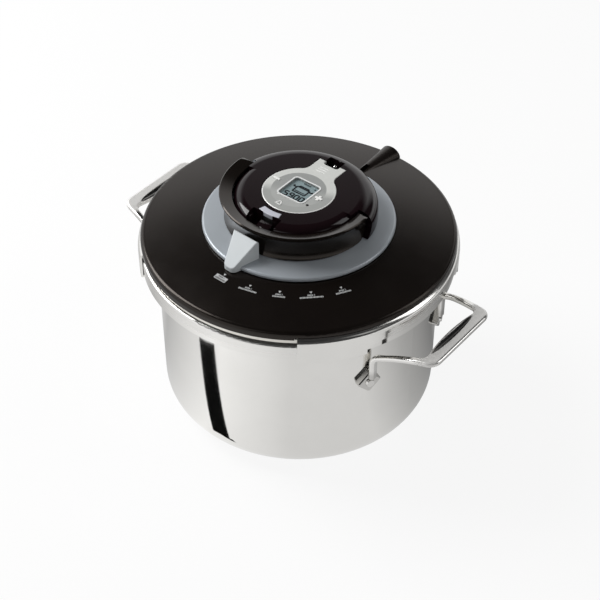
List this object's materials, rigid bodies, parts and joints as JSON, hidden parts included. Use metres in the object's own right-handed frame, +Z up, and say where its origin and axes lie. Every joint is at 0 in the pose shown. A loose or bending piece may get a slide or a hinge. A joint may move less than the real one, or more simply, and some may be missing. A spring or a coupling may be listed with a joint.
{
  "type": "pressure cooker",
  "caption": "Stovetop pressure cooker: polished steel pot with loop handles, black clamp lid with jaws, folding bail, selector ring and lift-out timer.",
  "frame": {"origin": "on the table under the middle of the pot", "axes": "+Z up, +X to the right handle, -Y to the cook"},
  "size_m": [0.3504, 0.277, 0.2235],
  "materials": {
    "polished_steel": "polished",
    "cast_steel": "satin",
    "spring_steel": "satin",
    "brass": "satin",
    "gasket_rubber": "matte",
    "black_plastic": "satin",
    "gloss_black_plastic": "gloss",
    "inner_plastic": "matte",
    "ring_plastic": "satin",
    "pale_plastic": "satin",
    "silver_plastic": "satin",
    "window": "gloss",
    "display": "gloss",
    "board": "satin"
  },
  "bodies": {
    "pot": {"pot_shell": "polished_steel", "base_disc": "polished_steel", "handle_right": "cast_steel", "handle_left": "cast_steel", "handle_rivets": "polished_steel"},
    "lid": {"lid_pan": "polished_steel", "lid_gasket": "gasket_rubber", "lid_cover": "black_plastic", "control_base": "black_plastic", "control_housing": "gloss_black_plastic", "recess_tray": "gloss_black_plastic", "housing_screws": "polished_steel", "lid_nut": "polished_steel", "pin_bush": "brass", "valve_body": "brass", "safety_valve_body": "brass", "valve_caps": "brass", "jaw_guides": "polished_steel", "release_spring": "spring_steel", "valve_spring": "spring_steel", "safety_valve_spring": "spring_steel"},
    "jaw_right": {"jaw_right": "polished_steel", "jaw_arm_right": "polished_steel", "jaw_rivets_right": "polished_steel"},
    "jaw_left": {"jaw_left": "polished_steel", "jaw_arm_left": "polished_steel", "jaw_rivets_left": "polished_steel"},
    "bail": {"bail_handle": "gloss_black_plastic", "bail_pins": "polished_steel", "cam_right": "inner_plastic", "cam_left": "inner_plastic"},
    "selector": {"selector_ring": "ring_plastic", "selector_pointer": "pale_plastic"},
    "release_button": {"release_button": "pale_plastic", "release_stem": "gloss_black_plastic"},
    "timer": {"timer_case": "inner_plastic", "timer_face": "silver_plastic", "timer_bezel": "pale_plastic", "timer_lens": "window", "lcd_panel": "display", "circuit_board": "board", "battery": "spring_steel", "battery_cover": "inner_plastic"},
    "minus_key": {"timer_minus_key": "silver_plastic"},
    "plus_key": {"timer_plus_key": "silver_plastic"},
    "pressure_pin": {"pressure_pin": "polished_steel"},
    "valve_poppet": {"valve_poppet": "polished_steel"},
    "safety_poppet": {"safety_valve_poppet": "polished_steel"}
  },
  "joints": [
    {"name": "lid_lift", "type": "slide", "parent": "pot", "child": "lid", "axis": [0, 0, 1], "range_m": [0, 0.12]},
    {"name": "bail_hinge", "type": "hinge", "parent": "lid", "child": "bail", "pos_m": [0, 0, 0.2107], "axis": [-1, 0, 0], "range_deg": [0, 90]},
    {"name": "jaw_right_slide", "type": "slide", "parent": "lid", "child": "jaw_right", "axis": [1, 0, 0], "range_m": [0, 0.008]},
    {"name": "jaw_left_slide", "type": "slide", "parent": "lid", "child": "jaw_left", "axis": [-1, 0, 0], "range_m": [0, 0.008]},
    {"name": "selector_turn", "type": "hinge", "parent": "lid", "child": "selector", "pos_m": [0, 0, 0.1916], "axis": [0, 0, 1], "range_deg": [0, 61.6]},
    {"name": "release_press", "type": "slide", "parent": "lid", "child": "release_button", "axis": [0, 0, -1], "range_m": [0, 0.0025], "stiffness_N_per_m": 800, "springref_m": -0.001, "deforming": ["release_spring"]},
    {"name": "timer_lift", "type": "slide", "parent": "lid", "child": "timer", "axis": [0, 0, 1], "range_m": [0, 0.025]},
    {"name": "minus_press", "type": "slide", "parent": "timer", "child": "minus_key", "axis": [0, 0, -1], "range_m": [0, 0.0005], "stiffness_N_per_m": 1500, "springref_m": -0.0005},
    {"name": "plus_press", "type": "slide", "parent": "timer", "child": "plus_key", "axis": [0, 0, -1], "range_m": [0, 0.0005], "stiffness_N_per_m": 1500, "springref_m": -0.0005},
    {"name": "pin_rise", "type": "slide", "parent": "lid", "child": "pressure_pin", "axis": [0, 0, 1], "range_m": [0, 0.004]},
    {"name": "valve_lift", "type": "slide", "parent": "lid", "child": "valve_poppet", "axis": [0, 0, 1], "range_m": [0, 0.0015], "stiffness_N_per_m": 1000, "springref_m": -0.001, "deforming": ["valve_spring"]},
    {"name": "safety_lift", "type": "slide", "parent": "lid", "child": "safety_poppet", "axis": [0, 0, 1], "range_m": [0, 0.0015], "stiffness_N_per_m": 2000, "springref_m": -0.001, "deforming": ["safety_valve_spring"]}
  ],
  "couplings": [
    {"joint": "jaw_right_slide", "follows": "bail_hinge", "m_per_rad": 0.005093},
    {"joint": "jaw_left_slide", "follows": "bail_hinge", "m_per_rad": 0.005093}
  ]
}
